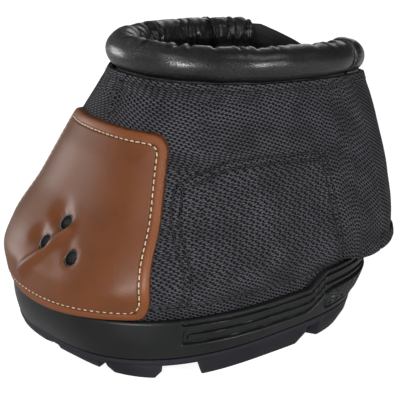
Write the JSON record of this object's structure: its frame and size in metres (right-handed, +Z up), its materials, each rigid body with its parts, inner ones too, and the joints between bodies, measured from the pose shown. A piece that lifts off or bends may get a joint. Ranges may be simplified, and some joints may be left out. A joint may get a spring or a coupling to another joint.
{
  "type": "horse hoof boot",
  "caption": "Horse hoof boot with a lugged rubber sole, woven upper, leather toe patch, padded roll collar and a wrap-over heel closure that swings open.",
  "frame": {"origin": "centre of the tread's middle pad, on the ground", "axes": "+Z up, toe towards -X, heel towards +X, the pictured side towards -Y"},
  "size_m": [0.1939, 0.14, 0.1422],
  "materials": {
    "cup_rubber": "satin",
    "tread_rubber": "matte",
    "woven_nylon": "matte",
    "tan_leather": "satin",
    "roll_leather": "gloss",
    "soft_lining": "matte",
    "foam": "matte",
    "fibre_board": "matte",
    "black_metal": "gloss"
  },
  "bodies": {
    "boot": {"tread_outsole": "tread_rubber", "sole_cup": "cup_rubber", "insole_board": "fibre_board", "quarter_near": "woven_nylon", "quarter_far": "woven_nylon", "lining_near": "soft_lining", "lining_far": "soft_lining", "stiffener_near": "fibre_board", "stiffener_far": "fibre_board", "toe_patch": "tan_leather", "vent_eyelet_top": "black_metal", "vent_eyelet_near": "black_metal", "vent_eyelet_far": "black_metal", "collar_cover_main": "roll_leather", "collar_cover_far": "roll_leather", "collar_foam_main": "foam", "collar_foam_far": "foam", "collar_piping_near": "roll_leather", "collar_piping_far": "roll_leather"},
    "outer_heel_flap": {"heel_flap_shell": "woven_nylon", "heel_flap_lining": "soft_lining", "heel_flap_hem": "woven_nylon", "hook_pad": "soft_lining", "collar_cover_flap": "roll_leather", "collar_foam_flap": "foam"},
    "inner_heel_flap": {"inner_flap": "soft_lining", "loop_pad": "soft_lining"}
  },
  "joints": [
    {"name": "outer_flap_hinge", "type": "hinge", "parent": "boot", "child": "outer_heel_flap", "pos_m": [0.073, -0.05796, 0.06759], "axis": [0, -0.2875, -0.9578], "range_deg": [0, 110]},
    {"name": "inner_flap_hinge", "type": "hinge", "parent": "boot", "child": "inner_heel_flap", "pos_m": [0.073, 0.05796, 0.06759], "axis": [0, -0.2875, 0.9578], "range_deg": [0, 66]}
  ],
  "couplings": [
    {"joint": "inner_flap_hinge", "follows": "outer_flap_hinge", "ratio": 0.6}
  ]
}
